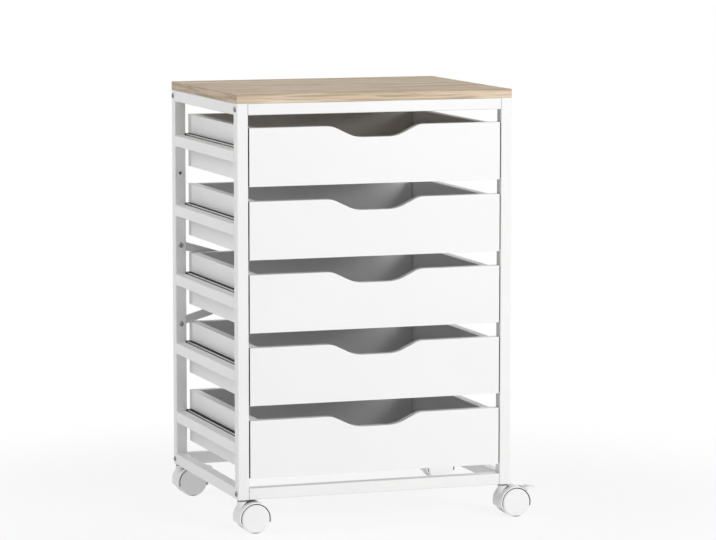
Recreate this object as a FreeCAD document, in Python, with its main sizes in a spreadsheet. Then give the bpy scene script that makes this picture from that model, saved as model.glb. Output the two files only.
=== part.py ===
"""Mobile pedestal: an open steel-tube frame on casters with five drawers and a wooden top.

Frame: +X to the right, +Y to the back, +Z up, front faces -Y, origin on the floor under the
centre of the tube frame. All sizes are millimetres and sit in the spreadsheet "dims".
"""
import FreeCAD, Part
import math
import os
import Sketcher

DRIVING = [
    ("overall_width", 500, "outside of the legs and the top board, left to right"),
    ("overall_depth", 400, "outside of the legs and the top board, front to back"),
    ("caster_height", 57, "floor to the lower end of the legs"),
    ("leg_length", 681, "leg tube"),
    ("board_thickness", 15, "top board"),
    ("board_round", 1, "edge band rounding of the top board"),
    ("tube_size", 20, "square tube"),
    ("tube_wall", 1.2, "square tube"),
    ("tube_corner", 1.2, "corner bevel of the square tube"),
    ("drawer_count", 5, ""),
    ("drawer_pitch", 125.5, "drawer to drawer"),
    ("lowest_front", 94, "floor to the lower edge of the lowest front"),
    ("front_width", 456, "drawer front, 2 mm short of the leg on either side"),
    ("front_height", 100, "drawer front"),
    ("front_thickness", 15, "drawer front"),
    ("scoop_depth", 20, "finger scoop below the top edge of a front"),
    ("scoop_mouth", 159, "finger scoop, between the upper corners"),
    ("scoop_floor", 75, "finger scoop, between the lower corners"),
    ("scoop_shoulder", 40, "rounding of the upper corners"),
    ("scoop_bend", 60, "rounding of the lower corners"),
    ("box_width", 440, "drawer box, outside of its sides"),
    ("box_board", 15, "sides and back of a drawer box"),
    ("box_height", 94, "sides and back of a drawer box"),
    ("box_rise", 4, "front's lower edge to the box's lower edge"),
    ("box_shortfall", 3, "frame's rear face to the drawer's rear face"),
    ("bottom_thickness", 3, "drawer bottom"),
    ("groove_rise", 9, "box's lower edge to the groove for the bottom"),
    ("groove_depth", 6, "groove for the bottom"),
    ("groove_play", 0.2, "bottom in its groove"),
    ("slide_height", 27, "fixed channel of a drawer slide"),
    ("slide_sheet", 1.2, "sheet of both slide members"),
    ("slide_length", 350, "both slide members"),
    ("slide_setback", 32, "frame's front face to the slide's front end"),
    ("channel_flange", 8.6, "fixed channel, off the rail"),
    ("member_height", 18, "moving slide member"),
    ("member_flange", 7.4, "moving slide member, off the drawer side"),
    ("cage_sheet", 0.6, "ball cage"),
    ("cage_height", 21.9, "ball cage"),
    ("cage_flange", 5.9, "ball cage"),
    ("cage_gap", 0.4, "channel web to the ball cage"),
    ("cage_length", 84, "ball cage"),
    ("cage_setback", 164, "frame's front face to the closed cage's front end"),
    ("bolt_size", 5.9, "frame bolt, six millimetre thread"),
    ("bolt_hole", 6.4, "clearance hole for a frame bolt"),
    ("bolt_length", 36, "frame bolt under its head"),
    ("bolt_head", 9.6, "frame bolt head"),
    ("bolt_head_height", 2, "frame bolt head"),
    ("bolt_head_slope", 1.3, "how far the head narrows to its top"),
    ("bolt_socket", 4.2, "key socket in a bolt head"),
    ("bolt_socket_depth", 1.4, "key socket in a bolt head"),
    ("nut_thread", 6, "thread bore of the weld nuts in the rails"),
    ("nut_play", 0.2, "weld nut inside its tube"),
    ("rail_nut_length", 15, "weld nut in the end of a rail"),
    ("brace_width", 15, "rear brace strip"),
    ("brace_sheet", 2, "rear brace strip"),
    ("brace_corner", 4.5, "cut corners of the strip's ends"),
    ("brace_low", 315, "floor to the lower brace bolts"),
    ("brace_high", 458, "floor to the upper brace bolts"),
    ("spare_hole", 589, "floor to the unused brace hole"),
    ("pin_size", 4.9, "brace bolt, five millimetre thread"),
    ("pin_hole", 5.4, "clearance hole for a brace bolt"),
    ("pin_length", 30, "brace bolt under its head"),
    ("pin_thread", 5, "thread bore of a brace bolt's nut"),
    ("pin_nut", 9.2, "nut of a brace bolt, across its corners"),
    ("pin_nut_height", 4, "nut of a brace bolt"),
    ("screw_size", 4, "wood screw holding the top board"),
    ("screw_head", 8, "wood screw head"),
    ("screw_head_height", 2.4, "wood screw head"),
    ("screw_bite", 11, "wood screw inside the top board"),
    ("screw_hole", 4.4, "clearance hole for a wood screw"),
    ("screw_access", 10, "hole for the driver and the screw head, under a top rail"),
    ("screw_spread", 320, "between the screws of one rail"),
    ("wheel_size", 50, "caster wheel"),
    ("wheel_width", 16, "one of a caster's two wheels"),
    ("rim_drop", 2.4, "sloping outer rim of a wheel, along the radius"),
    ("rim_slope", 1.5, "sloping outer rim of a wheel, along the axle"),
    ("wheel_cap", 3, "closed outer face of a wheel over the axle's end"),
    ("caster_trail", 18, "swivel axis to axle"),
    ("hood_gap", 1.6, "hood over the wheel"),
    ("hood_wall", 2, "hood over the wheel"),
    ("hood_width", 42, "hood along the axle"),
    ("hood_web", 10, "web between the two wheels"),
    ("web_gap", 1, "web to wheel"),
    ("skirt_lead", 8.6, "hood below the axle on the swivel side"),
    ("skirt_trail", 6.4, "hood below the axle on the trailing side"),
    ("boss_size", 18, "swivel boss of the hood"),
    ("boss_height", 54.4, "floor to the top of the swivel boss"),
    ("axle_size", 6, "wheel axle"),
    ("axle_play", 0.2, "end of the axle in a wheel"),
    ("turning_fit", 0.05, "radial play of a turning fit"),
    ("stem_size", 8, "threaded stem of a caster"),
    ("stem_bite", 5.4, "stem inside the leg's weld nut"),
    ("stem_collar", 16, "collar under the leg"),
    ("stem_collar_height", 2, "collar under the leg"),
    ("stem_pin", 6, "swivel pin below the collar"),
    ("stem_pin_length", 16, "swivel pin below the collar"),
    ("pin_clearance", 1, "swivel pin's end above the bottom of its bore"),
    ("leg_nut_height", 5, "weld nut closing the lower end of a leg"),
    ("pedal_width", 18, "brake pedal along the axle"),
    ("pedal_play", 0.6, "brake pedal in its window"),
    ("pedal_shoe", 0.9, "lifted brake shoe off the wheel"),
    ("pedal_pin", 2.4, "pivot pin of the brake pedal"),
    ("pedal_ear", 6.4, "hood's ears around the pedal's pivot"),
    ("pedal_ear_spread", 27, "outside of the two ears"),
    ("pedal_pin_length", 26, "pivot pin of the brake pedal"),
    ("pivot_across", 18.5, "axle to pedal pivot, backwards"),
    ("pivot_up", 21.5, "axle to pedal pivot, upwards"),
    ("tread_start", 29, "axle to the foot tread, backwards"),
    ("tread_end", 39, "axle to the pedal's tip, backwards"),
    ("tread_top", 26, "axle to the foot tread, upwards"),
    ("tread_thickness", 4, "foot tread"),
    ("shoe_end_across", 22.3, "axle to the lower end of the shoe, backwards"),
    ("shoe_end_up", 14.3, "axle to the lower end of the shoe, upwards"),
    ("shoe_heel_across", 2.9, "shoe's thickness at its lower end, backwards"),
    ("shoe_heel_up", 2.2, "shoe's thickness at its lower end, upwards"),
    ("shoe_lead", 1, "pedal pivot to the shoe's upper end, forwards"),
    ("shoe_drop", 1.3, "pedal pivot to the shoe's upper end, downwards"),
    ("tread_round", 1, "how far the tip of the tread falls"),
    ("tread_neck", 9, "foot tread to the neck above the pivot"),
    ("tread_dip", 2.2, "foot tread to the neck, downwards"),
    ("window_margin", 1.6, "pedal window below the shoe"),
    ("rail_offset", 1, "middle of a drawer front to its slide"),
    ("bore_sides", 8, "sides of the small bores, shanks and pins"),
    ("head_sides", 12, "sides of screw and bolt heads"),
    ("key_sides", 6, "sides of nuts and key sockets"),
    ("ring_sides", 16, "sides of collars, spacers and ears"),
    ("boss_sides", 24, "sides of the swivel bosses"),
    ("wheel_sides", 40, "sides of the wheels"),
]

DERIVED = [
    ("half_width", "=overall_width / 2"),
    ("half_depth", "=overall_depth / 2"),
    ("half_tube", "=tube_size / 2"),
    ("half_bore", "=tube_size / 2 - tube_wall"),
    ("leg_across", "=half_width - half_tube"),
    ("leg_along", "=half_depth - half_tube"),
    ("leg_top", "=caster_height + leg_length"),
    ("cross_length", "=overall_width - 2 * tube_size"),
    ("side_length", "=overall_depth - 2 * tube_size"),
    ("low_rail", "=caster_height + half_tube"),
    ("high_rail", "=leg_top - half_tube"),
    ("rail_span", "=high_rail - low_rail"),
    ("first_rail", "=lowest_front + front_height / 2 + rail_offset"),
    ("rail_face", "=half_width - tube_size"),
    ("hole_low", "=half_tube"),
    ("hole_high", "=leg_length - half_tube"),
    ("brace_hole_low", "=brace_low - caster_height"),
    ("brace_hole_high", "=brace_high - caster_height"),
    ("brace_hole_spare", "=spare_hole - caster_height"),
    ("half_screws", "=screw_spread / 2"),
    ("half_front", "=front_width / 2"),
    ("half_mouth", "=scoop_mouth / 2"),
    ("half_floor", "=scoop_floor / 2"),
    ("scoop_level", "=front_height - scoop_depth"),
    ("front_back", "=half_depth - front_thickness"),
    ("front_middle", "=half_depth - front_thickness / 2"),
    ("half_box", "=box_width / 2"),
    ("box_inside", "=half_box - box_board"),
    ("box_groove", "=box_inside + groove_depth"),
    ("box_top", "=box_rise + box_height"),
    ("groove_low", "=box_rise + groove_rise"),
    ("groove_high", "=groove_low + bottom_thickness + groove_play"),
    ("box_end", "=half_depth - box_shortfall"),
    ("side_board_length", "=front_back + box_end"),
    ("side_board_middle", "=(box_end - front_back) / 2"),
    ("back_face", "=box_end - box_board"),
    ("back_groove", "=back_face + groove_depth"),
    ("back_width", "=2 * box_inside"),
    ("bottom_half", "=box_groove - groove_play"),
    ("bottom_end", "=back_groove - groove_play"),
    ("bottom_top", "=groove_low + bottom_thickness"),
    ("half_slide", "=slide_height / 2"),
    ("half_slide_inside", "=half_slide - slide_sheet"),
    ("channel_web", "=rail_face - slide_sheet"),
    ("channel_lip", "=rail_face - channel_flange"),
    ("slide_middle", "=slide_length / 2 + slide_setback - half_depth"),
    ("half_member", "=member_height / 2"),
    ("half_member_inside", "=half_member - slide_sheet"),
    ("member_web", "=half_box + slide_sheet"),
    ("member_lip", "=half_box + member_flange"),
    ("half_cage", "=cage_height / 2"),
    ("half_cage_inside", "=half_cage - cage_sheet"),
    ("cage_outside", "=channel_web - cage_gap"),
    ("cage_web", "=cage_outside - cage_sheet"),
    ("cage_lip", "=cage_outside - cage_flange"),
    ("cage_middle", "=cage_length / 2 + cage_setback - half_depth"),
    ("bolt_face", "=half_width + bolt_head_height"),
    ("half_nut", "=half_bore - nut_play"),
    ("rail_nut_end", "=rail_face - rail_nut_length"),
    ("leg_row", "=2 * leg_across"),
    ("leg_file", "=2 * leg_along"),
    ("brace_rise", "=brace_high - brace_low"),
    ("brace_middle", "=(brace_high + brace_low) / 2"),
    ("brace_reach", "=sqrt(leg_row ^ 2 + brace_rise ^ 2) / 2"),
    ("brace_half_length", "=brace_reach + brace_width / 2"),
    ("brace_half_width", "=brace_width / 2"),
    ("brace_second", "=half_depth + brace_sheet"),
    ("brace_outside", "=half_depth + 2 * brace_sheet"),
    ("brace_lean", "=atan(brace_rise / leg_row)"),
    ("pin_seat", "=half_depth - tube_size"),
    ("pin_face", "=pin_seat - bolt_head_height"),
    ("screw_seat", "=leg_top - tube_wall"),
    ("screw_length", "=tube_wall + screw_bite"),
    ("wheel_radius", "=wheel_size / 2"),
    ("wheel_inside", "=hood_web / 2 + web_gap"),
    ("wheel_outside", "=wheel_inside + wheel_width"),
    ("bore_depth", "=wheel_width - wheel_cap"),
    ("axle_length", "=2 * (wheel_inside + bore_depth - axle_play)"),
    ("bore_spread", "=1 / cos(180 deg / bore_sides)"),
    ("axle_bore", "=(axle_size + 2 * turning_fit) * bore_spread"),
    ("hood_inside", "=wheel_radius + hood_gap"),
    ("hood_bore", "=2 * hood_inside"),
    ("hood_outside", "=hood_inside + hood_wall"),
    ("half_web", "=hood_web / 2"),
    ("boss_top", "=boss_height - wheel_radius"),
    ("pin_bore", "=(stem_pin + 2 * turning_fit) * bore_spread"),
    ("pin_bore_depth", "=stem_pin_length + pin_clearance"),
    ("collar_low", "=caster_height - stem_collar_height"),
    ("stem_bore", "=stem_size + 2 * turning_fit"),
    ("stem_length", "=stem_collar_height + stem_bite"),
    ("caster_axle", "=leg_across + caster_trail"),
    ("caster_axle_left", "=leg_across - caster_trail"),
    ("window_width", "=pedal_width + 2 * pedal_play"),
    ("pedal_pin_bore", "=(pedal_pin + 2 * turning_fit) * bore_spread"),
    ("window_back", "=pivot_across - pedal_ear / 2 - pedal_play"),
    ("window_front", "=tread_end + pedal_play"),
    ("window_low", "=shoe_end_up - window_margin"),
    ("window_high", "=tread_top + pedal_ear"),
    ("shoe_high_across", "=pivot_across - shoe_lead"),
    ("shoe_high_up", "=pivot_up - shoe_drop"),
    ("heel_across", "=shoe_end_across + shoe_heel_across"),
    ("heel_up", "=shoe_end_up + shoe_heel_up"),
    ("tread_low", "=tread_top - tread_thickness"),
    ("tread_tip", "=tread_top - tread_round"),
    ("tread_root", "=tread_start - tread_neck"),
    ("tread_root_up", "=tread_top - tread_dip"),
]

doc = FreeCAD.newDocument("mobile_pedestal")
dims = doc.addObject("Spreadsheet::Sheet", "dims")
for row, (alias, amount, *note) in enumerate(DRIVING + DERIVED, start=1):
    dims.set(f"A{row}", alias)
    dims.set(f"B{row}", str(amount))
    dims.setAlias(f"B{row}", alias)
    dims.set(f"C{row}", note[0] if note else "worked out")
doc.recompute()

NODES = []


def value(term):
    """Number behind a term: "0", an alias of the sheet, or an alias with a minus sign."""
    if term == "0":
        return 0.0
    number = float(dims.get(term.lstrip("-")))
    return -number if term.startswith("-") else number


def bind(target, path, term):
    """Tie a property or a sketch constraint to the sheet."""
    sign = "-1 * " if term.startswith("-") else ""
    target.setExpression(path, f"{sign}dims.{term.lstrip('-')}")


def place(target, across="0", along="0", up="0"):
    for axis, term in (("x", across), ("y", along), ("z", up)):
        if term != "0":
            bind(target, f".Placement.Base.{axis}", term)


def body(name):
    made = doc.addObject("PartDesign::Body", name)
    made.Label = name
    made.AllowCompound = True
    return made


def node(made, across="0", along="0", up="0"):
    """Place a finished sub-part and put it on the list of files to write."""
    place(made, across, along, up)
    NODES.append(made)
    return made


def datum(owner, role):
    return next(item for item in owner.Origin.OriginFeatures if item.Role == role)


def sketch(owner, plane, offset="0"):
    made = owner.newObject("Sketcher::SketchObject", "profile")
    made.AttachmentSupport = [(datum(owner, plane), "")]
    made.MapMode = "FlatFace"
    if offset != "0":
        bind(made, ".AttachmentOffset.Base.z", offset)
    return made


def dimension(drawn, kind, first, first_point, second, second_point, term):
    """Add a driving dimension between two sketch points, tied to the sheet."""
    index = drawn.addConstraint(
        Sketcher.Constraint(kind, first, first_point, second, second_point, value(term)))
    if term != "0":
        bind(drawn, f"Constraints[{index}]", term)


def locate(drawn, geometry, point, across, up):
    dimension(drawn, "DistanceX", -1, 1, geometry, point, across)
    dimension(drawn, "DistanceY", -1, 1, geometry, point, up)


def polygon(drawn, corners):
    start = drawn.GeometryCount
    count = len(corners)
    spots = [FreeCAD.Vector(value(across), value(up), 0) for across, up in corners]
    for index, spot in enumerate(spots):
        drawn.addGeometry(Part.LineSegment(spot, spots[(index + 1) % count]), False)
    for index in range(count):
        following = start + (index + 1) % count
        drawn.addConstraint(Sketcher.Constraint("Coincident", start + index, 2, following, 1))
    for index, (across, up) in enumerate(corners):
        locate(drawn, start + index, 1, across, up)
    return drawn


def rectangle(drawn, left, right, low, high):
    return polygon(drawn, [(left, low), (right, low), (right, high), (left, high)])


def facets(drawn, diameter, sides, across="0", up="0"):
    """Regular polygon with its corners on a circle, for the small round forms that repeat."""
    count = int(value(sides))
    centre = FreeCAD.Vector(value(across), value(up), 0)
    radius = value(diameter) / 2
    ring = drawn.addGeometry(Part.Circle(centre, FreeCAD.Vector(0, 0, 1), radius), True)
    locate(drawn, ring, 3, across, up)
    size = drawn.addConstraint(Sketcher.Constraint("Diameter", ring, value(diameter)))
    bind(drawn, f"Constraints[{size}]", diameter)
    turns = [2 * math.pi * step / count for step in range(count)]
    spots = [centre + FreeCAD.Vector(math.cos(turn), math.sin(turn), 0) * radius for turn in turns]
    start = drawn.GeometryCount
    for index, spot in enumerate(spots):
        drawn.addGeometry(Part.LineSegment(spot, spots[(index + 1) % count]), False)
    for index in range(count):
        following = start + (index + 1) % count
        drawn.addConstraint(Sketcher.Constraint("Coincident", start + index, 2, following, 1))
        drawn.addConstraint(Sketcher.Constraint("PointOnObject", start + index, 1, ring))
    for index in range(1, count):
        drawn.addConstraint(Sketcher.Constraint("Equal", start, start + index))
    drawn.addConstraint(Sketcher.Constraint("Horizontal", ring, 3, start, 1))
    return drawn


def pad(owner, drawn, length, side="Symmetric", flip=False):
    made = owner.newObject("PartDesign::Pad", "pad")
    made.Profile = drawn
    made.SideType = side
    made.Reversed = flip
    bind(made, "Length", length)
    doc.recompute()
    return made


def cut(owner, drawn, length=None, side="Symmetric", flip=False):
    """Pocket through everything, or to a length."""
    made = owner.newObject("PartDesign::Pocket", "cut")
    made.Profile = drawn
    made.SideType = side
    made.Reversed = flip
    if length:
        bind(made, "Length", length)
    else:
        made.Type = "ThroughAll"
    doc.recompute()
    return made


def chosen(base, wanted):
    """Names of a feature's edges that a test picks by their middle and direction."""
    names = []
    for index, edge in enumerate(base.Shape.Edges, start=1):
        first, last = edge.Vertexes[0].Point, edge.Vertexes[-1].Point
        if wanted((first + last) * 0.5, last - first):
            names.append(f"Edge{index}")
    return names


def soften(owner, base, radius, wanted):
    made = owner.newObject("PartDesign::Fillet", "rounding")
    made.Base = (base, chosen(base, wanted))
    bind(made, "Radius", radius)
    doc.recompute()
    return made


def bevel(owner, base, size, wanted):
    made = owner.newObject("PartDesign::Chamfer", "bevel")
    made.Base = (base, chosen(base, wanted))
    bind(made, "Size", size)
    doc.recompute()
    return made


def repeat(owner, axis, spacing, count=2):
    """Repeat the whole body along an axis; count is a number or an alias."""
    made = owner.newObject("PartDesign::LinearPattern", "row")
    made.TransformMode = "Whole shape"
    made.Direction = (datum(owner, axis), [""])
    made.Mode = "Spacing"
    bind(made, "Offset", spacing)
    if isinstance(count, str):
        bind(made, "Occurrences", count)
    else:
        made.Occurrences = count
    owner.Tip = made
    doc.recompute()
    return made


def mirror(owner, plane):
    made = owner.newObject("PartDesign::Mirrored", "mirrored")
    made.TransformMode = "Whole shape"
    made.MirrorPlane = (datum(owner, plane), [""])
    owner.Tip = made
    doc.recompute()
    return made


def group(name, members):
    made = doc.addObject("Part::Compound", name)
    made.Label = name
    made.Links = members
    doc.recompute()
    return made


def parallel(direction, axis):
    """True where a direction runs along an axis (0, 1 or 2)."""
    return direction.Length > 0 and abs(direction[axis]) > 0.999 * direction.Length


def tube(name, plane, run, length, side="Symmetric"):
    """Square tube with broken corners; run is the axis (0, 1 or 2) it is drawn along."""
    made = body(name)
    outside = rectangle(sketch(made, plane), "-half_tube", "half_tube", "-half_tube", "half_tube")
    solid = pad(made, outside, length, side)
    bevel(made, solid, "tube_corner", lambda middle, direction: parallel(direction, run))
    bore = rectangle(sketch(made, plane), "-half_bore", "half_bore", "-half_bore", "half_bore")
    cut(made, bore)
    return made


def top_board():
    made = body("top_board")
    outline = rectangle(sketch(made, "XY_Plane"),
                        "-half_width", "half_width", "-half_depth", "half_depth")
    slab = pad(made, outline, "board_thickness", "One side")
    thickness = value("board_thickness")
    soften(made, slab, "board_round",
           lambda middle, direction: abs(middle.z - thickness) < 0.01)
    holes = sketch(made, "XY_Plane")
    for across in ("-half_screws", "half_screws"):
        for along in ("-leg_along", "leg_along"):
            facets(holes, "screw_size", "bore_sides", across, along)
    cut(made, holes, "screw_bite", "One side", flip=True)
    node(made, up="leg_top")


def legs():
    for along_name, along in (("front", "-leg_along"), ("rear", "leg_along")):
        for across_name, across in (("left", "-leg_across"), ("right", "leg_across")):
            made = tube(f"leg_{along_name}_{across_name}", "XY_Plane", 2, "leg_length", "One side")
            bolted = sketch(made, "YZ_Plane")
            facets(bolted, "bolt_hole", "bore_sides", "0", "hole_low")
            facets(bolted, "bolt_hole", "bore_sides", "0", "hole_high")
            cut(made, bolted)
            if along_name == "rear":
                braced = sketch(made, "XZ_Plane")
                for up in ("brace_hole_low", "brace_hole_high", "brace_hole_spare"):
                    facets(braced, "pin_hole", "bore_sides", "0", up)
                cut(made, braced)
            node(made, across, along, "caster_height")


def side_rails():
    """Top, bottom and five drawer rails between the legs of each side frame."""
    for name, across in (("left", "-leg_across"), ("right", "leg_across")):
        outer = tube(f"{name}_outer_rails", "XZ_Plane", 1, "side_length")
        repeat(outer, "Z_Axis", "rail_span")
        place(outer, across, "0", "low_rail")
        inner = tube(f"{name}_drawer_rails", "XZ_Plane", 1, "side_length")
        repeat(inner, "Z_Axis", "drawer_pitch", "drawer_count")
        place(inner, across, "0", "first_rail")
        node(group(f"{name}_side_rails", [outer, inner]))


def cross_rails():
    for along_name, along in (("front", "-leg_along"), ("rear", "leg_along")):
        for up_name, up in (("top", "high_rail"), ("bottom", "low_rail")):
            made = tube(f"{along_name}_{up_name}_rail", "YZ_Plane", 0, "cross_length")
            if up_name == "top":
                for size, from_above in (("screw_hole", True), ("screw_access", False)):
                    holes = sketch(made, "XY_Plane")
                    facets(holes, size, "bore_sides", "-half_screws")
                    facets(holes, size, "bore_sides", "half_screws")
                    cut(made, holes, "tube_size", "One side", flip=from_above)
            node(made, "0", along, up)


def bolt(made, plane, seat, crown, shank, length):
    """Button-head bolt with a key socket; its head is on the side that the plane faces."""
    pad(made, facets(sketch(made, plane, seat), shank, "bore_sides"), length, "One side", flip=True)
    round_head = facets(sketch(made, plane, seat), "bolt_head", "head_sides")
    head = pad(made, round_head, "bolt_head_height", "One side")
    run = {"YZ_Plane": 0, "XZ_Plane": 1}[plane]
    level = abs(value(crown))
    bevel(made, head, "bolt_head_slope",
          lambda middle, direction: abs(abs(middle[run]) - level) < 0.01)
    key = facets(sketch(made, plane, crown), "bolt_socket", "key_sides")
    cut(made, key, "bolt_socket_depth", "One side")


def frame_bolts():
    """Bolts through the legs into the ends of the front and rear rails."""
    made = body("frame_bolts")
    bolt(made, "YZ_Plane", "half_width", "bolt_face", "bolt_size", "bolt_length")
    mirror(made, "YZ_Plane")
    repeat(made, "Z_Axis", "rail_span")
    repeat(made, "Y_Axis", "leg_file")
    node(made, "0", "-leg_along", "low_rail")


def weld_nuts():
    """Nuts welded into the rail ends for the bolts and into the leg ends for the casters."""
    in_rails = body("rail_nuts")
    block = rectangle(sketch(in_rails, "YZ_Plane", "rail_nut_end"),
                      "-half_nut", "half_nut", "-half_nut", "half_nut")
    pad(in_rails, block, "rail_nut_length", "One side")
    cut(in_rails, facets(sketch(in_rails, "YZ_Plane"), "nut_thread", "bore_sides"))
    mirror(in_rails, "YZ_Plane")
    repeat(in_rails, "Z_Axis", "rail_span")
    repeat(in_rails, "Y_Axis", "leg_file")
    place(in_rails, "0", "-leg_along", "low_rail")
    in_legs = body("leg_nuts")
    block = rectangle(sketch(in_legs, "XY_Plane"), "-half_nut", "half_nut", "-half_nut", "half_nut")
    pad(in_legs, block, "leg_nut_height", "One side")
    cut(in_legs, facets(sketch(in_legs, "XY_Plane"), "stem_bore", "bore_sides"))
    repeat(in_legs, "X_Axis", "leg_row")
    repeat(in_legs, "Y_Axis", "leg_file")
    place(in_legs, "-leg_across", "-leg_along", "caster_height")
    node(group("weld_nuts", [in_rails, in_legs]))


def top_screws():
    """Wood screws inside the top rails, up through the rail's upper wall into the board."""
    made = body("top_screws")
    shank = facets(sketch(made, "XY_Plane", "screw_seat"), "screw_size", "bore_sides")
    pad(made, shank, "screw_length", "One side")
    head = facets(sketch(made, "XY_Plane", "screw_seat"), "screw_head", "head_sides")
    pad(made, head, "screw_head_height", "One side", flip=True)
    repeat(made, "X_Axis", "screw_spread")
    repeat(made, "Y_Axis", "leg_file")
    node(made, "-half_screws", "-leg_along")


def rear_braces():
    """Two crossing strips behind the rear legs, one lying on the other."""
    for name, along, lean in (("falling", "half_depth", "brace_lean"),
                              ("rising", "brace_second", "-brace_lean")):
        made = body(f"rear_brace_{name}")
        outline = rectangle(sketch(made, "XZ_Plane"), "-brace_half_length", "brace_half_length",
                            "-brace_half_width", "brace_half_width")
        strip = pad(made, outline, "brace_sheet", "One side", flip=True)
        bevel(made, strip, "brace_corner", lambda middle, direction: parallel(direction, 1))
        holes = sketch(made, "XZ_Plane")
        facets(holes, "pin_hole", "bore_sides", "-brace_reach")
        facets(holes, "pin_hole", "bore_sides", "brace_reach")
        cut(made, holes)
        made.Placement.Rotation = FreeCAD.Rotation(FreeCAD.Vector(0, 1, 0), value(lean))
        bind(made, ".Placement.Rotation.Angle", lean)
        node(made, "0", along, "brace_middle")


def brace_bolts():
    """Bolts with nuts at the strip ends, and spacers under the ends of the outer strip."""
    shanks = body("brace_shanks")
    bolt(shanks, "XZ_Plane", "-pin_seat", "-pin_face", "pin_size", "pin_length")
    repeat(shanks, "X_Axis", "leg_row")
    repeat(shanks, "Z_Axis", "brace_rise")
    place(shanks, "-leg_across", "0", "brace_low")
    members = [shanks]
    ends = [("inner_left", "-leg_across", "brace_high", "brace_second"),
            ("inner_right", "leg_across", "brace_low", "brace_second"),
            ("outer_left", "-leg_across", "brace_low", "brace_outside"),
            ("outer_right", "leg_across", "brace_high", "brace_outside")]
    for name, across, up, seat in ends:
        nut = body(f"nut_{name}")
        ring = facets(sketch(nut, "XZ_Plane"), "pin_nut", "key_sides")
        facets(ring, "pin_thread", "bore_sides")
        pad(nut, ring, "pin_nut_height", "One side", flip=True)
        place(nut, across, seat, up)
        members.append(nut)
        if name.startswith("outer"):
            spacer = body(f"spacer_{name}")
            ring = facets(sketch(spacer, "XZ_Plane"), "brace_width", "ring_sides")
            facets(ring, "pin_hole", "bore_sides")
            pad(spacer, ring, "brace_sheet", "One side", flip=True)
            place(spacer, across, "half_depth", up)
            members.append(spacer)
    node(group("brace_bolts", members))


def channel(drawn, side, web_out, web_in, lip, half_outside, half_inside):
    """Cross-section of a sheet channel whose mouth faces along X; side is "" or "-"."""
    out, web, tip = f"{side}{web_out}", f"{side}{web_in}", f"{side}{lip}"
    polygon(drawn, [
        (out, f"-{half_outside}"), (tip, f"-{half_outside}"), (tip, f"-{half_inside}"),
        (web, f"-{half_inside}"), (web, half_inside), (tip, half_inside),
        (tip, half_outside), (out, half_outside)])


def slide_channels():
    made = body("slide_channels")
    profile = sketch(made, "XZ_Plane")
    for side in ("-", ""):
        channel(profile, side, "rail_face", "channel_web", "channel_lip",
                "half_slide", "half_slide_inside")
    pad(made, profile, "slide_length")
    repeat(made, "Z_Axis", "drawer_pitch", "drawer_count")
    node(made, "0", "slide_middle", "first_rail")


def drawer_front(name, up):
    made = body(f"{name}_front")
    outline = polygon(sketch(made, "XZ_Plane"), [
        ("-half_front", "0"), ("half_front", "0"), ("half_front", "front_height"),
        ("half_mouth", "front_height"), ("half_floor", "scoop_level"),
        ("-half_floor", "scoop_level"), ("-half_mouth", "front_height"),
        ("-half_front", "front_height")])
    panel = pad(made, outline, "front_thickness")

    def at(half):
        return lambda middle, direction: parallel(direction, 1) and abs(
            abs(middle.x) - value(half)) < 0.01

    rounded = soften(made, panel, "scoop_shoulder", at("half_mouth"))
    soften(made, rounded, "scoop_bend", at("half_floor"))
    node(made, "0", "-front_middle", up)


def drawer_box(name, up):
    sides = body(f"{name}_sides")
    profile = sketch(sides, "XZ_Plane")
    for side in ("-", ""):
        out, face, groove = f"{side}half_box", f"{side}box_inside", f"{side}box_groove"
        polygon(profile, [
            (out, "box_rise"), (face, "box_rise"), (face, "groove_low"), (groove, "groove_low"),
            (groove, "groove_high"), (face, "groove_high"), (face, "box_top"), (out, "box_top")])
    pad(sides, profile, "side_board_length")
    node(sides, "0", "side_board_middle", up)

    back = body(f"{name}_back")
    profile = polygon(sketch(back, "YZ_Plane"), [
        ("box_end", "box_rise"), ("back_face", "box_rise"), ("back_face", "groove_low"),
        ("back_groove", "groove_low"), ("back_groove", "groove_high"),
        ("back_face", "groove_high"), ("back_face", "box_top"), ("box_end", "box_top")])
    pad(back, profile, "back_width")
    node(back, up=up)

    bottom = body(f"{name}_bottom")
    outline = rectangle(sketch(bottom, "XY_Plane", "groove_low"),
                        "-bottom_half", "bottom_half", "-front_back", "bottom_end")
    pad(bottom, outline, "bottom_thickness", "One side")
    node(bottom, up=up)


def drawer_slides(name, up):
    members = body(f"{name}_slide_members")
    profile = sketch(members, "XZ_Plane")
    for side in ("-", ""):
        channel(profile, side, "half_box", "member_web", "member_lip",
                "half_member", "half_member_inside")
    pad(members, profile, "slide_length")
    node(members, "0", "slide_middle", up)

    cages = body(f"{name}_ball_cages")
    profile = sketch(cages, "XZ_Plane")
    for side in ("-", ""):
        channel(profile, side, "cage_outside", "cage_web", "cage_lip",
                "half_cage", "half_cage_inside")
    pad(cages, profile, "cage_length")
    node(cages, "0", "cage_middle", up)


def drawers():
    """Drawer 1 is the top one."""
    count = int(value("drawer_count"))
    for number in range(1, count + 1):
        below = count - number
        row = len(DRIVING) + len(DERIVED) + 2 * number
        levels = ((f"front_level_{number}", "lowest_front"), (f"slide_level_{number}", "first_rail"))
        for step, (alias, start) in enumerate(levels):
            dims.set(f"A{row + step}", alias)
            dims.set(f"B{row + step}", f"={start} + {below} * drawer_pitch")
            dims.setAlias(f"B{row + step}", alias)
        doc.recompute()
        name = f"drawer_{number}"
        drawer_front(name, levels[0][0])
        drawer_box(name, levels[0][0])
        drawer_slides(name, levels[1][0])


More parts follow.
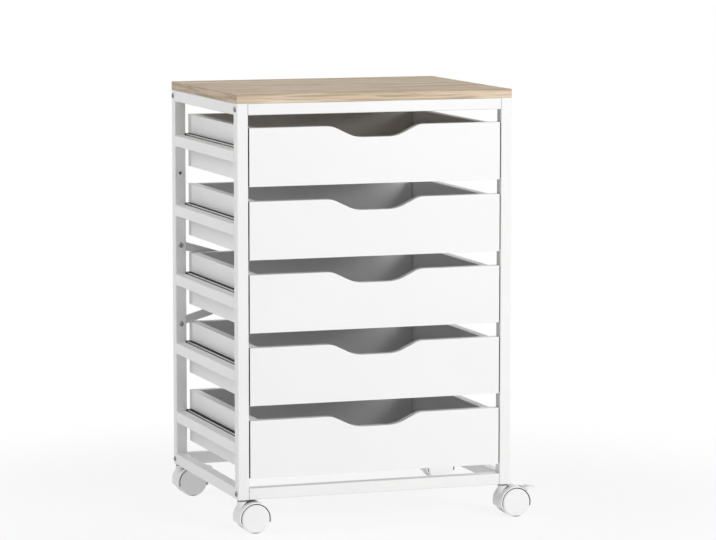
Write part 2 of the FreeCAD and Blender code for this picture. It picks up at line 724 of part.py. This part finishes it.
def caster_stems():
    """Threaded stems with a collar under the leg and a swivel pin in the hood."""
    made = body("caster_stems")
    collar = facets(sketch(made, "XY_Plane", "collar_low"), "stem_collar", "ring_sides")
    pad(made, collar, "stem_collar_height", "One side")
    thread = facets(sketch(made, "XY_Plane", "collar_low"), "stem_size", "bore_sides")
    pad(made, thread, "stem_length", "One side")
    pin = facets(sketch(made, "XY_Plane", "collar_low"), "stem_pin", "bore_sides")
    pad(made, pin, "stem_pin_length", "One side", flip=True)
    repeat(made, "X_Axis", "leg_row")
    repeat(made, "Y_Axis", "leg_file")
    node(made, "-leg_across", "-leg_along")


def hood_outline(drawn):
    """Arc over the wheels, closed by a straight lower edge that drops to the swivel side."""
    radius = value("hood_outside")
    trail = -math.asin(value("skirt_trail") / radius)
    lead = math.pi + math.asin(value("skirt_lead") / radius)
    ring = Part.Circle(FreeCAD.Vector(0, 0, 0), FreeCAD.Vector(0, 0, 1), radius)
    arc = drawn.addGeometry(Part.ArcOfCircle(ring, trail, lead), False)
    ends = [FreeCAD.Vector(radius * math.cos(angle), radius * math.sin(angle), 0)
            for angle in (lead, trail)]
    edge = drawn.addGeometry(Part.LineSegment(*ends), False)
    drawn.addConstraint(Sketcher.Constraint("Coincident", arc, 3, -1, 1))
    drawn.addConstraint(Sketcher.Constraint("Coincident", arc, 2, edge, 1))
    drawn.addConstraint(Sketcher.Constraint("Coincident", arc, 1, edge, 2))
    size = drawn.addConstraint(Sketcher.Constraint("Radius", arc, radius))
    bind(drawn, f"Constraints[{size}]", "hood_outside")
    dimension(drawn, "DistanceY", -1, 1, edge, 1, "-skirt_lead")
    dimension(drawn, "DistanceY", -1, 1, edge, 2, "-skirt_trail")
    return drawn


def hood(name, braked):
    """Hood about the axle: an arch over both wheels on a web between them, with a swivel boss."""
    made = body(name)
    pad(made, hood_outline(sketch(made, "XZ_Plane")), "hood_width")
    boss = facets(sketch(made, "XY_Plane"), "boss_size", "boss_sides", "-caster_trail")
    pad(made, boss, "boss_top", "One side")
    if braked:
        ears = facets(sketch(made, "XZ_Plane"), "pedal_ear", "ring_sides", "pivot_across", "pivot_up")
        pad(made, ears, "pedal_ear_spread")
    far = facets(sketch(made, "XZ_Plane", "half_web"), "hood_bore", "wheel_sides")
    cut(made, far, None, "One side", flip=True)
    near = facets(sketch(made, "XZ_Plane", "-half_web"), "hood_bore", "wheel_sides")
    cut(made, near, None, "One side")
    cut(made, facets(sketch(made, "XZ_Plane"), "axle_bore", "bore_sides"))
    swivel = sketch(made, "XY_Plane", "boss_top")
    cut(made, facets(swivel, "pin_bore", "bore_sides", "-caster_trail"), "pin_bore_depth", "One side")
    if braked:
        window = rectangle(sketch(made, "XZ_Plane"),
                           "window_back", "window_front", "window_low", "window_high")
        cut(made, window, "window_width")
        pivot = sketch(made, "XZ_Plane")
        cut(made, facets(pivot, "pedal_pin_bore", "bore_sides", "pivot_across", "pivot_up"))
    return made


def wheelset(name):
    """Two wheels with closed outer faces, pressed on one axle."""
    wheels = body(f"{name}_pair")
    outline = facets(sketch(wheels, "XZ_Plane", "-wheel_inside"), "wheel_size", "wheel_sides")
    disc = pad(wheels, outline, "wheel_width", "One side", flip=True)
    outside = value("wheel_outside")
    rim = bevel(wheels, disc, "rim_slope",
                lambda middle, direction: abs(middle.y - outside) < 0.01)
    rim.ChamferType = "Two distances"
    bind(rim, "Size2", "rim_drop")
    doc.recompute()
    bore = facets(sketch(wheels, "XZ_Plane", "-wheel_inside"), "axle_size", "bore_sides")
    cut(wheels, bore, "bore_depth", "One side")
    mirror(wheels, "XZ_Plane")
    axle = body(f"{name}_axle")
    pad(axle, facets(sketch(axle, "XZ_Plane"), "axle_size", "bore_sides"), "axle_length")
    return group(name, [wheels, axle])


def pedal(name):
    """Brake pedal: a shoe over the wheels, a foot tread behind it and a pivot pin."""
    made = body(name)
    outline = polygon(sketch(made, "XZ_Plane"), [
        ("shoe_end_across", "shoe_end_up"), ("heel_across", "heel_up"),
        ("tread_start", "tread_low"), ("tread_end", "tread_low"), ("tread_end", "tread_tip"),
        ("tread_start", "tread_top"), ("tread_root", "tread_root_up"),
        ("shoe_high_across", "shoe_high_up")])
    pad(made, outline, "pedal_width")
    pin = facets(sketch(made, "XZ_Plane"), "pedal_pin", "bore_sides", "pivot_across", "pivot_up")
    pad(made, pin, "pedal_pin_length")
    return made


def casters():
    corners = (("front_left", "-caster_axle_left", "-leg_along", False),
               ("front_right", "caster_axle", "-leg_along", True),
               ("rear_left", "-caster_axle_left", "leg_along", True),
               ("rear_right", "caster_axle", "leg_along", False))
    for corner, across, along, braked in corners:
        node(hood(f"caster_{corner}_hood", braked), across, along, "wheel_radius")
        node(wheelset(f"caster_{corner}_wheelset"), across, along, "wheel_radius")
        if braked:
            node(pedal(f"caster_{corner}_pedal"), across, along, "wheel_radius")


top_board()
legs()
side_rails()
cross_rails()
frame_bolts()
weld_nuts()
top_screws()
rear_braces()
brace_bolts()
slide_channels()
drawers()
caster_stems()
casters()
doc.recompute()

for item in doc.Objects:
    if "Invalid" in item.State or "Error" in item.State:
        raise RuntimeError(f"{item.Label} did not compute: {item.State}")

os.makedirs("parts", exist_ok=True)
for item in NODES:
    shape = item.Shape
    if not shape.isValid() or not shape.Solids:
        raise RuntimeError(f"{item.Label} is not a valid solid")
    shape.exportStep(os.path.join("parts", f"{item.Label}.step"))
    print(f"{item.Label}: {len(shape.Solids)} solids, {shape.Volume:.0f} mm3")
print(f"{len(NODES)} nodes")
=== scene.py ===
"""Looks of the mobile pedestal: materials, small details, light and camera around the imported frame."""
import math

import bmesh
import bpy
from mathutils import Matrix, Vector


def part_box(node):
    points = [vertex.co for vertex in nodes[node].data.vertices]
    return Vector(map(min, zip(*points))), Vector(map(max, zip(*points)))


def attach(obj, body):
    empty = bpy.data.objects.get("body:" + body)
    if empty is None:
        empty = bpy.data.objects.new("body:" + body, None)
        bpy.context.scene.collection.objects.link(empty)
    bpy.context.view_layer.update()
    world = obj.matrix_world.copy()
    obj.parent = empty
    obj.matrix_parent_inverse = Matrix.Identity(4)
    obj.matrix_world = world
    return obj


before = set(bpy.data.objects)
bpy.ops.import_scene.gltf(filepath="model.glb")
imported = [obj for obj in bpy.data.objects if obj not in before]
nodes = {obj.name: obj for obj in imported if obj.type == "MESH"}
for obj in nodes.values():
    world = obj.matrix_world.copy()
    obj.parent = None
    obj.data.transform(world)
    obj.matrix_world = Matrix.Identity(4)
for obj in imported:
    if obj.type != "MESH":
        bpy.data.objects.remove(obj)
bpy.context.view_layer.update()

DRAWERS = range(1, 6)
CORNERS = ("front_left", "front_right", "rear_left", "rear_right")
SIDES = (-1, 1)                   # left and right of the middle plane
WHITE = (1.0, 1.0, 1.0, 1.0)


# Node materials

MIX_FACTOR, MIX_FIRST, MIX_SECOND, MIX_RESULT = 0, 6, 7, 2   # sockets of a Mix node for colours
TONE_LOW, TONE_HIGH = 0.3, 0.7    # the middle stretch of a noise, where most of it lies
GAP_SAMPLES = 12
EVEN = (1.0, 1.0, 1.0)            # a pattern that is alike along all axes
DRAWN = (1.0, 0.05, 1.0)          # a pattern drawn out along Y
SIDE_FACING = 0.6                 # a face that points further than this along X is a side edge
UP_FACING = 0.7                   # a face that points further than this along Z is an upper face
GRAIN_SHARE = 0.65                # how strongly streaks and pores darken the oak


def grey(level):
    return (level, level, level)


class Graph:
    """A node tree that is built up call by call."""

    def __init__(self, tree):
        self.tree = tree

    def add(self, kind, **inputs):
        """A new node; an underscore in an input's name stands for a space."""
        made = self.tree.nodes.new(kind)
        for label, content in inputs.items():
            self.feed(made.inputs[label.replace("_", " ")], content)
        return made

    def feed(self, socket, content):
        if isinstance(content, bpy.types.NodeSocket):
            self.tree.links.new(content, socket)
        else:
            socket.default_value = content

    def math(self, operation, first, second=0.0):
        made = self.tree.nodes.new("ShaderNodeMath")
        made.operation = operation
        self.feed(made.inputs[0], first)
        self.feed(made.inputs[1], second)
        return made.outputs[0]

    def spread(self, factor, low, high):
        """Map a 0 to 1 factor to a range."""
        return self.add("ShaderNodeMapRange", Value=factor, To_Min=low, To_Max=high).outputs["Result"]


class Shader(Graph):
    """A material with one Principled surface."""

    def __init__(self, name, roughness, metallic=0.0, specular=0.5):
        self.material = bpy.data.materials.new(name)
        self.material.use_nodes = True
        super().__init__(self.material.node_tree)
        self.surface = self.tree.nodes["Principled BSDF"]
        self.surface.inputs["Roughness"].default_value = roughness
        self.surface.inputs["Metallic"].default_value = metallic
        self.surface.inputs["Specular IOR Level"].default_value = specular
        self.place = self.add("ShaderNodeTexCoord").outputs["Object"]

    def noise(self, scale, detail=2.0, distortion=0.0, along=EVEN):
        """A noise in object coordinates, stretched by a scale along each axis."""
        stretched = self.add("ShaderNodeMapping", Vector=self.place, Scale=along).outputs["Vector"]
        made = self.add("ShaderNodeTexNoise", Vector=stretched, Scale=scale, Detail=detail,
                        Distortion=distortion)
        return made.outputs["Fac"]

    def ramp(self, factor, *stops):
        """Colours at positions along a factor; each stop is (position, (r, g, b))."""
        made = self.add("ShaderNodeValToRGB", Fac=factor)
        band = made.color_ramp.elements
        while len(band) < len(stops):
            band.new(0.5)
        for element, (position, colour) in zip(band, stops):
            element.position = position
            element.color = (*colour, 1.0)
        return made.outputs["Color"]

    def tones(self, factor, low, high):
        """A colour that drifts between two tones with a noise."""
        return self.ramp(factor, (TONE_LOW, low), (TONE_HIGH, high))

    def mix(self, factor, first, second, kind="MIX"):
        made = self.tree.nodes.new("ShaderNodeMix")
        made.data_type = "RGBA"
        made.blend_type = kind
        self.feed(made.inputs[MIX_FACTOR], factor)
        self.feed(made.inputs[MIX_FIRST], first)
        self.feed(made.inputs[MIX_SECOND], second)
        return made.outputs[MIX_RESULT]

    def facing(self, axis):
        """How far a face points along an axis, from -1 to 1."""
        normal = self.add("ShaderNodeNewGeometry").outputs["True Normal"]
        return self.add("ShaderNodeSeparateXYZ", Vector=normal).outputs[axis]

    def colour(self, socket):
        self.feed(self.surface.inputs["Base Color"], socket)

    def paint_gap_shade(self, socket, reach, darkest, closed=0.10, opened=0.46):
        """A colour that darkens in narrow gaps: painted shade, from an ambient occlusion node."""
        # painted shade: the base colour goes dark where ambient occlusion finds a narrow gap
        made = self.add("ShaderNodeAmbientOcclusion", Distance=reach)
        made.samples = GAP_SAMPLES
        shade = self.ramp(made.outputs["AO"], (closed, grey(darkest)), (opened, grey(1.0)))
        self.colour(self.mix(1.0, socket, shade, "MULTIPLY"))

    def rough(self, factor, low, high):
        self.feed(self.surface.inputs["Roughness"], self.spread(factor, low, high))

    def bump(self, height, depth, strength):
        made = self.add("ShaderNodeBump", Height=height, Distance=depth, Strength=strength)
        self.feed(self.surface.inputs["Normal"], made.outputs["Normal"])


def powder_coat():
    """Satin white powder coat: a fine orange peel and a faint unevenness of tone."""
    made = Shader("powder_coat", roughness=0.42)
    white = made.tones(made.noise(9.0, detail=3.0), (0.845, 0.845, 0.84), (0.875, 0.875, 0.87))
    # painted shade: the white darkens in the gaps between tubes, slides and drawers
    made.paint_gap_shade(white, reach=0.010, darkest=0.03, closed=0.20)
    made.rough(made.noise(60.0), low=0.36, high=0.48)
    made.bump(made.noise(900.0), depth=0.00012, strength=0.5)
    return made.material


def melamine(name, level, roughness):
    """White melamine facing: a very fine pearl texture, slightly uneven gloss."""
    made = Shader(name, roughness, specular=0.35)
    white = made.tones(made.noise(5.0, detail=4.0), grey(level - 0.012), grey(level + 0.008))
    # painted shade: the white darkens in the narrow gaps around fronts and drawer boxes
    made.paint_gap_shade(white, reach=0.010, darkest=0.03)
    made.rough(made.noise(140.0, detail=3.0), low=roughness - 0.06, high=roughness + 0.06)
    made.bump(made.noise(1600.0, detail=1.0), depth=0.00005, strength=0.5)
    return made.material


def oak():
    """Light oak effect: long grain along X, along Y on the two side edges, with open pores."""
    made = Shader("oak", roughness=0.6, specular=0.22)
    on_side = made.math("GREATER_THAN", made.math("ABSOLUTE", made.facing("X")), SIDE_FACING)

    def grain(scale, detail, distortion, stretch):
        """The same noise with its grain along X, and along Y on the side edges."""
        along_x = made.noise(scale, detail, distortion, (1.0, stretch, stretch))
        along_y = made.noise(scale, detail, distortion, (stretch, 1.0, stretch))
        return made.mix(on_side, along_x, along_y)

    plank = made.ramp(grain(2.2, detail=4.0, distortion=1.2, stretch=9.0),
                      (0.28, (0.55, 0.415, 0.29)), (0.5, (0.71, 0.57, 0.42)),
                      (0.72, (0.83, 0.70, 0.55)))
    streak = made.ramp(grain(8.0, detail=6.0, distortion=0.5, stretch=30.0),
                       (0.36, (0.46, 0.42, 0.38)), (0.58, grey(1.0)))
    pore = made.ramp(grain(16.0, detail=3.0, distortion=0.0, stretch=55.0),
                     (0.30, grey(0.35)), (0.42, grey(1.0)))
    toned = made.mix(GRAIN_SHARE, plank, streak, "MULTIPLY")
    grained = made.mix(GRAIN_SHARE, toned, pore, "MULTIPLY")
    # painted shade: both side edges of the board are darker than its front and top
    painted_side_shade = made.ramp(on_side, (0.0, grey(1.0)), (1.0, (0.80, 0.79, 0.80)))
    made.colour(made.mix(1.0, grained, painted_side_shade, "MULTIPLY"))
    made.rough(made.noise(40.0), low=0.54, high=0.70)
    made.bump(pore, depth=0.00015, strength=0.6)
    return made.material


def steel(name, low, high, roughness, along=EVEN):
    """Plated or dark steel with fine marks."""
    made = Shader(name, roughness, metallic=1.0)
    marks = made.noise(300.0, detail=3.0, along=along)
    # painted shade: the steel darkens in the corners and gaps around it
    made.paint_gap_shade(made.tones(marks, low, high), reach=0.006, darkest=0.12)
    made.rough(made.noise(45.0, detail=4.0), low=roughness - 0.08, high=roughness + 0.1)
    made.bump(marks, depth=0.00003, strength=0.6)
    return made.material


def slide_steel():
    """Bright zinc on the walls of a slide, and a near black painted shade on its upper faces."""
    made = Shader("slide_zinc", roughness=0.4, specular=0.1)
    # upper faces of the slide, which get the painted shade, no metal and a high roughness
    top_with_painted_shade = made.math("GREATER_THAN", made.facing("Z"), UP_FACING)
    marks = made.noise(300.0, detail=3.0, along=DRAWN)
    bright = made.tones(marks, grey(0.74), grey(0.86))
    # painted shade: the upper faces are near black where the slide's top lies in shadow beside the
    # drawer
    painted_top_shade = made.tones(made.noise(80.0, detail=4.0), grey(0.02), grey(0.06))
    # painted shade also darkens the slide's corners and gaps
    made.paint_gap_shade(made.mix(top_with_painted_shade, bright, painted_top_shade), reach=0.005, darkest=0.03, closed=0.60, opened=0.80)
    made.feed(made.surface.inputs["Metallic"], made.spread(top_with_painted_shade, 0.75, 0.0))
    made.rough(top_with_painted_shade, low=0.38, high=0.9)
    made.bump(marks, depth=0.00003, strength=0.6)
    return made.material


def plastic(name, level, roughness, reach, closed, opened):
    """Moulded plastic with a spark-eroded grain, and painted shade in its gaps."""
    made = Shader(name, roughness)
    moulded = made.tones(made.noise(30.0, detail=3.0), grey(level - 0.015), grey(level + 0.01))
    # painted shade: the plastic darkens in the gaps between hood, wheel and stem
    made.paint_gap_shade(moulded, reach, 0.01, closed, opened)
    made.rough(made.noise(700.0, detail=1.0), low=roughness - 0.07, high=roughness + 0.08)
    made.bump(made.noise(1200.0), depth=0.00008, strength=0.5)
    return made.material


COAT = powder_coat()
FRONT = melamine("white_front", level=0.885, roughness=0.36)
BOARD = melamine("white_board", level=0.86, roughness=0.42)
HARDBOARD = melamine("white_hardboard", level=0.80, roughness=0.55)
OAK = oak()
ZINC = steel("zinc", (0.60, 0.61, 0.62), (0.72, 0.73, 0.74), roughness=0.34, along=DRAWN)
SLIDE = slide_steel()
BOLT = steel("bolt_steel", (0.17, 0.173, 0.176), (0.26, 0.264, 0.268), roughness=0.40)
NUT = steel("nut_steel", (0.27, 0.274, 0.278), (0.42, 0.426, 0.432), roughness=0.28)
BALL = steel("ball_steel", (0.62, 0.63, 0.64), (0.70, 0.71, 0.72), roughness=0.15)
# reach, closed and opened set how dark the painted shade is in the gaps of hoods and wheels
HOOD = plastic("white_hood", level=0.87, roughness=0.42, reach=0.006, closed=0.40, opened=0.78)
WHEEL = plastic("white_wheel", level=0.88, roughness=0.40, reach=0.004, closed=0.30, opened=0.66)


# Finish of the solids

TUBE_EDGE = 0.0005                # rounding of the tubes and the brace strips
TUBE_ANGLE = math.radians(30)     # their edges that are sharper than this are rounded
BOARD_EDGE = 0.0008               # rounding of the top board and the drawer fronts
BOX_EDGE = 0.0006                 # rounding of the drawers' sides and backs
BOARD_ANGLE = math.radians(40)    # edges of boards that are sharper than this are rounded
EDGE_SEGMENTS = 2
ROUND_ANGLE = math.radians(32)    # faces that meet at less than this are one round surface
WELD_REACH = 1e-6


def paint(name, material):
    mesh = nodes[name].data
    mesh.materials.clear()
    mesh.materials.append(material)


def soften(name, width, angle=BOARD_ANGLE):
    """Rounded edges on a solid: its triangles are joined first, then its edges bevelled."""
    target = nodes[name]
    weld = target.modifiers.new("weld", "WELD")
    weld.merge_threshold = WELD_REACH
    bevel = target.modifiers.new("edge", "BEVEL")
    bevel.width = width
    bevel.segments = EDGE_SEGMENTS
    bevel.limit_method = "ANGLE"
    bevel.angle_limit = angle
    bevel.harden_normals = True


def round_shading(name):
    mesh = nodes[name].data
    mesh.shade_smooth()
    mesh.set_sharp_from_angle(angle=ROUND_ANGLE)


def dress_frame():
    painted = ["left_side_rails", "right_side_rails", "front_top_rail", "front_bottom_rail",
               "rear_top_rail", "rear_bottom_rail", "rear_brace_falling", "rear_brace_rising"]
    painted += [f"leg_{corner}" for corner in CORNERS]
    for name in painted:
        paint(name, COAT)
        soften(name, TUBE_EDGE, TUBE_ANGLE)
    paint("top_board", OAK)
    soften("top_board", BOARD_EDGE)
    paint("slide_channels", SLIDE)
    # the caster stems' dark bolt steel is painted shade: the zinc stems lie in the shadow under the legs
    fasteners = {"frame_bolts": BOLT, "brace_bolts": NUT, "caster_stems": BOLT,
                 "top_screws": ZINC, "weld_nuts": ZINC}
    for name, material in fasteners.items():
        paint(name, material)
        round_shading(name)


def dress_drawers():
    for number in DRAWERS:
        name = f"drawer_{number}"
        paint(f"{name}_front", FRONT)
        soften(f"{name}_front", BOARD_EDGE)
        for part in ("sides", "back"):
            paint(f"{name}_{part}", BOARD)
            soften(f"{name}_{part}", BOX_EDGE)
        paint(f"{name}_bottom", HARDBOARD)
        paint(f"{name}_slide_members", ZINC)
        paint(f"{name}_ball_cages", ZINC)


def dress_casters():
    """Hoods and wheels, and the brake pedals of the casters that have one."""
    for corner in CORNERS:
        parts = {"hood": HOOD, "wheelset": WHEEL}
        if f"caster_{corner}_pedal" in nodes:
            parts["pedal"] = HOOD
        for part, material in parts.items():
            paint(f"caster_{corner}_{part}", material)
            round_shading(f"caster_{corner}_{part}")


# Small details

SMOOTH_ANGLE = math.radians(40)


def middle(name):
    low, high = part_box(name)
    return (low + high) / 2


def finished(name, shape):
    mesh = bpy.data.meshes.new(name)
    bmesh.ops.recalc_face_normals(shape, faces=shape.faces)
    shape.to_mesh(mesh)
    shape.free()
    mesh.shade_smooth()
    mesh.set_sharp_from_angle(angle=SMOOTH_ANGLE)
    return mesh


def piece(name, shape, body, material):
    """A finished shape as a piece of the scene that moves with a body of the frame."""
    mesh = finished(name, shape)
    made = bpy.data.objects.new(name, mesh)
    bpy.context.scene.collection.objects.link(made)
    mesh.materials.append(material)
    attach(made, body)


def turned(shape, profile, centre, axis, sides):
    """Add a turned form to a shape: (radius, height) pairs around an axis from a centre."""
    turn = Vector((0.0, 0.0, 1.0)).rotation_difference(axis).to_matrix().to_4x4()
    place = Matrix.Translation(centre) @ turn
    rings = []
    for radius, height in profile:
        count = sides if radius > 0 else 1
        angles = [2 * math.pi * step / sides for step in range(count)]
        rings.append([shape.verts.new(place @ Vector((radius * math.cos(angle),
                                                      radius * math.sin(angle), height)))
                      for angle in angles])
    for low, high in zip(rings, rings[1:]):
        for step in range(sides):
            following = (step + 1) % sides
            corners = [low[step % len(low)], low[following % len(low)],
                       high[following % len(high)], high[step % len(high)]]
            shape.faces.new(list(dict.fromkeys(corners)))


BALL_RADIUS = 0.0016
BALL_COUNT = 7                    # in one row of a cage
BALL_END = 0.0069                 # end of a cage to the middle of its first ball
BALL_INSET = 0.0029               # outer face of a cage's web to the middle of its balls
CAGE_SHEET = 0.0006               # thickness of a cage
MEMBER_SHEET = 0.0012             # thickness of a moving slide member
SCREW_SETBACKS = (0.018, 0.148, 0.288)   # front end of a slide member to its screws
SCREW_SIDES = 16
SCREW_HEAD = [(0.0, 0.0016), (0.0012, 0.0016), (0.0016, 0.0010), (0.0020, 0.0014),
              (0.0030, 0.0010), (0.0035, 0.0)]


def cage_balls(drawer):
    """Balls in two rows in each of a drawer's two cages."""
    shape = bmesh.new()
    low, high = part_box(f"{drawer}_ball_cages")
    level = middle(f"{drawer}_ball_cages").z
    row = (high.z - low.z - CAGE_SHEET) / 2
    pitch = (high.y - low.y - 2 * BALL_END) / (BALL_COUNT - 1)
    for side in SIDES:
        for step in range(BALL_COUNT):
            along = low.y + BALL_END + pitch * step
            for up in (-row, row):
                centre = Vector((side * (high.x - BALL_INSET), along, level + up))
                bmesh.ops.create_icosphere(shape, subdivisions=2, radius=BALL_RADIUS,
                                           matrix=Matrix.Translation(centre))
    piece(f"{drawer}_balls", shape, f"{drawer}_cages", BALL)


def slide_screws(drawer):
    """Pan-head screws that hold the moving slide members to a drawer's sides."""
    shape = bmesh.new()
    front_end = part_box(f"{drawer}_slide_members")[0].y
    level = middle(f"{drawer}_slide_members").z
    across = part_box(f"{drawer}_sides")[1].x + MEMBER_SHEET
    for side in SIDES:
        for setback in SCREW_SETBACKS:
            centre = Vector((side * across, front_end + setback, level))
            turned(shape, SCREW_HEAD, centre, Vector((side, 0.0, 0.0)), SCREW_SIDES)
    piece(f"{drawer}_slide_screws", shape, drawer, ZINC)


BEAD_SIZE = 0.0016
BEAD_INSET = 0.0016               # keeps a bead between the bevelled corners of the tube
BEAD_STEPS = 30                   # sections along a bead
BEAD_ARC = 4                      # faces around a bead
BEAD_END = 0.25                   # size of a bead's end, as a share of its full size
BEAD_TAPER = 6.0                  # how fast the ends grow along the bead
BEAD_RIPPLES = 10
BEAD_RIPPLE = 0.12                # height of the ripples, as a share of the size
BEAD_WAIST = 0.78                 # a bead is a little flatter than round in its middle


def bead(shape, side, face, into, level, up):
    """One weld bead across a tube, in the corner of a leg's face and a rail, with ripples."""
    low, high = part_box("leg_front_right")
    inner, outer = low.x + BEAD_INSET, high.x - BEAD_INSET
    rows = []
    for step in range(BEAD_STEPS + 1):
        share = step / BEAD_STEPS
        across = side * (inner + (outer - inner) * share)
        taper = min(1.0, BEAD_TAPER * min(share, 1.0 - share) + BEAD_END)
        ripple = 1.0 + BEAD_RIPPLE * math.sin(2 * math.pi * BEAD_RIPPLES * share)
        row = []
        for turn in range(BEAD_ARC + 1):
            angle = math.pi / 2 * turn / BEAD_ARC
            belly = BEAD_WAIST + (1.0 - BEAD_WAIST) * abs(math.cos(2 * angle))
            reach = BEAD_SIZE * taper * ripple * belly
            row.append(shape.verts.new((across, face + into * reach * math.cos(angle),
                                        level + up * reach * math.sin(angle))))
        row.append(shape.verts.new((across, face, level)))
        rows.append(row)
    for first, second in zip(rows, rows[1:]):
        for index in range(len(first)):
            following = (index + 1) % len(first)
            shape.faces.new((first[index], first[following], second[following], second[index]))
    shape.faces.new(rows[0])
    shape.faces.new(rows[-1])


def weld_beads():
    """Painted weld beads where the side rails meet the legs, above and below each rail."""
    rails = ["front_bottom_rail"]
    rails += [f"drawer_{number}_slide_members" for number in reversed(DRAWERS)]
    rails += ["front_top_rail"]
    levels = [middle(rail).z for rail in rails]
    low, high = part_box("front_top_rail")
    half_rail = (high.z - low.z) / 2
    front_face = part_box("leg_front_left")[1].y
    rear_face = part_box("leg_rear_left")[0].y
    for name, side in zip(("left", "right"), SIDES):
        shape = bmesh.new()
        for number, level in enumerate(levels):
            for face, into in ((front_face, 1), (rear_face, -1)):
                if number < len(levels) - 1:
                    bead(shape, side, face, into, level + half_rail, 1)
                if number > 0:
                    bead(shape, side, face, into, level - half_rail, -1)
        piece(f"weld_beads_{name}", shape, "frame", COAT)


# Light and floor

SKY_LIGHT = 0.33
LAMPS = (
    {"name": "key", "power": 165.0, "place": (2.2, -4.8, 2.2), "size": (2.6, 2.0)},
    {"name": "fill", "power": 34.0, "place": (-3.0, 0.1, 2.3), "size": (1.8, 1.8)},
    {"name": "rear", "power": 56.0, "place": (3.6, 3.4, 1.8), "size": (2.6, 2.0)},
)
LIT_POINT = Vector((0.0, 0.0, 0.38))
FLOOR_SIZE = 120.0
FLOOR_COLOUR = (0.9, 0.9, 0.9, 1.0)
FLOOR_GLOW = 0.3                  # share of an evenly lit floor in the light that it throws back
SHADOW_REACH = (0.5, 1.1)         # metres from the middle where the floor's shadow fades out
SHADOW_SHARE = 0.16


def lamp(name, power, place, size):
    light = bpy.data.lights.new(name, "AREA")
    light.shape = "RECTANGLE"
    light.size, light.size_y = size
    light.energy = power
    holder = bpy.data.objects.new(name, light)
    bpy.context.scene.collection.objects.link(holder)
    holder.location = place
    holder.rotation_mode = "QUATERNION"
    holder.rotation_quaternion = (LIT_POINT - Vector(place)).to_track_quat("-Z", "Y")


def seen_directly(graph):
    """A factor of 1 where the eye, a mirror or glass looks, and 0 elsewhere."""
    path = graph.add("ShaderNodeLightPath").outputs
    eye_or_mirror = graph.math("MAXIMUM", path["Is Camera Ray"], path["Is Glossy Ray"])
    return graph.math("MAXIMUM", eye_or_mirror, path["Is Transmission Ray"])


def floor_material():
    """White to the eye away from the object, with the object's own shadow around it."""
    made = bpy.data.materials.new("floor_white")
    made.use_nodes = True
    graph = Graph(made.node_tree)
    graph.tree.nodes.clear()
    distance = graph.tree.nodes.new("ShaderNodeVectorMath")
    distance.operation = "LENGTH"
    graph.feed(distance.inputs[0], graph.add("ShaderNodeTexCoord").outputs["Object"])
    near, far = SHADOW_REACH
    fade = graph.add("ShaderNodeMapRange", Value=distance.outputs["Value"], From_Min=near, From_Max=far,
                     To_Min=1.0 - SHADOW_SHARE, To_Max=1.0)
    fade.interpolation_type = "SMOOTHSTEP"
    share = graph.spread(seen_directly(graph), FLOOR_GLOW, fade.outputs["Result"])
    matte = graph.add("ShaderNodeBsdfDiffuse", Color=FLOOR_COLOUR)
    glow = graph.add("ShaderNodeEmission", Strength=1.0)
    blend = graph.add("ShaderNodeMixShader", Fac=share)
    graph.feed(blend.inputs[1], matte.outputs["BSDF"])
    graph.feed(blend.inputs[2], glow.outputs["Emission"])
    graph.add("ShaderNodeOutputMaterial", Surface=blend.outputs["Shader"])
    return made


def studio():
    """White floor with a soft shadow, an even sky, and large lamps in front, at the side and behind."""
    bpy.ops.mesh.primitive_plane_add(size=FLOOR_SIZE, location=(0.0, 0.0, 0.0))
    floor = bpy.context.object
    floor.name = "floor"
    floor.data.materials.append(floor_material())

    world = bpy.data.worlds.new("sky")
    bpy.context.scene.world = world
    world.use_nodes = True
    graph = Graph(world.node_tree)
    sky = graph.tree.nodes["Background"]
    sky.inputs["Color"].default_value = WHITE
    graph.feed(sky.inputs["Strength"], graph.spread(seen_directly(graph), SKY_LIGHT, 1.0))
    for settings in LAMPS:
        lamp(**settings)


# Camera, fitted to the straight edges of the frame and the drawer fronts

IMAGE_WIDTH = 716                 # pixels, the frame that the camera was fitted in
CAMERA_AZIMUTH = math.radians(-19.05)
CAMERA_ELEVATION = math.radians(6.65)
CAMERA_FOCUS = 3456.0             # focal length in pixels
CAMERA_DISTANCE = 6.161
CAMERA_TARGET = Vector((0.0360, 0.0, 0.4223))
CAMERA_REACH = 200.0
SENSOR_WIDTH = 36.0               # millimetres


def camera():
    lens = bpy.data.cameras.new("camera")
    lens.sensor_fit = "HORIZONTAL"
    lens.sensor_width = SENSOR_WIDTH
    lens.lens = CAMERA_FOCUS / IMAGE_WIDTH * SENSOR_WIDTH
    lens.clip_end = CAMERA_REACH
    eye = bpy.data.objects.new("camera", lens)
    bpy.context.scene.collection.objects.link(eye)
    back = Vector((math.sin(CAMERA_AZIMUTH) * math.cos(CAMERA_ELEVATION),
                   -math.cos(CAMERA_AZIMUTH) * math.cos(CAMERA_ELEVATION),
                   math.sin(CAMERA_ELEVATION)))
    eye.location = CAMERA_TARGET + back * CAMERA_DISTANCE
    eye.rotation_mode = "QUATERNION"
    eye.rotation_quaternion = (-back).to_track_quat("-Z", "Y")
    bpy.context.scene.camera = eye


dress_frame()
dress_drawers()
dress_casters()
for drawer_number in DRAWERS:
    cage_balls(f"drawer_{drawer_number}")
    slide_screws(f"drawer_{drawer_number}")
weld_beads()
studio()
camera()
bpy.context.scene.view_settings.view_transform = "Standard"

bpy.context.view_layer.update()
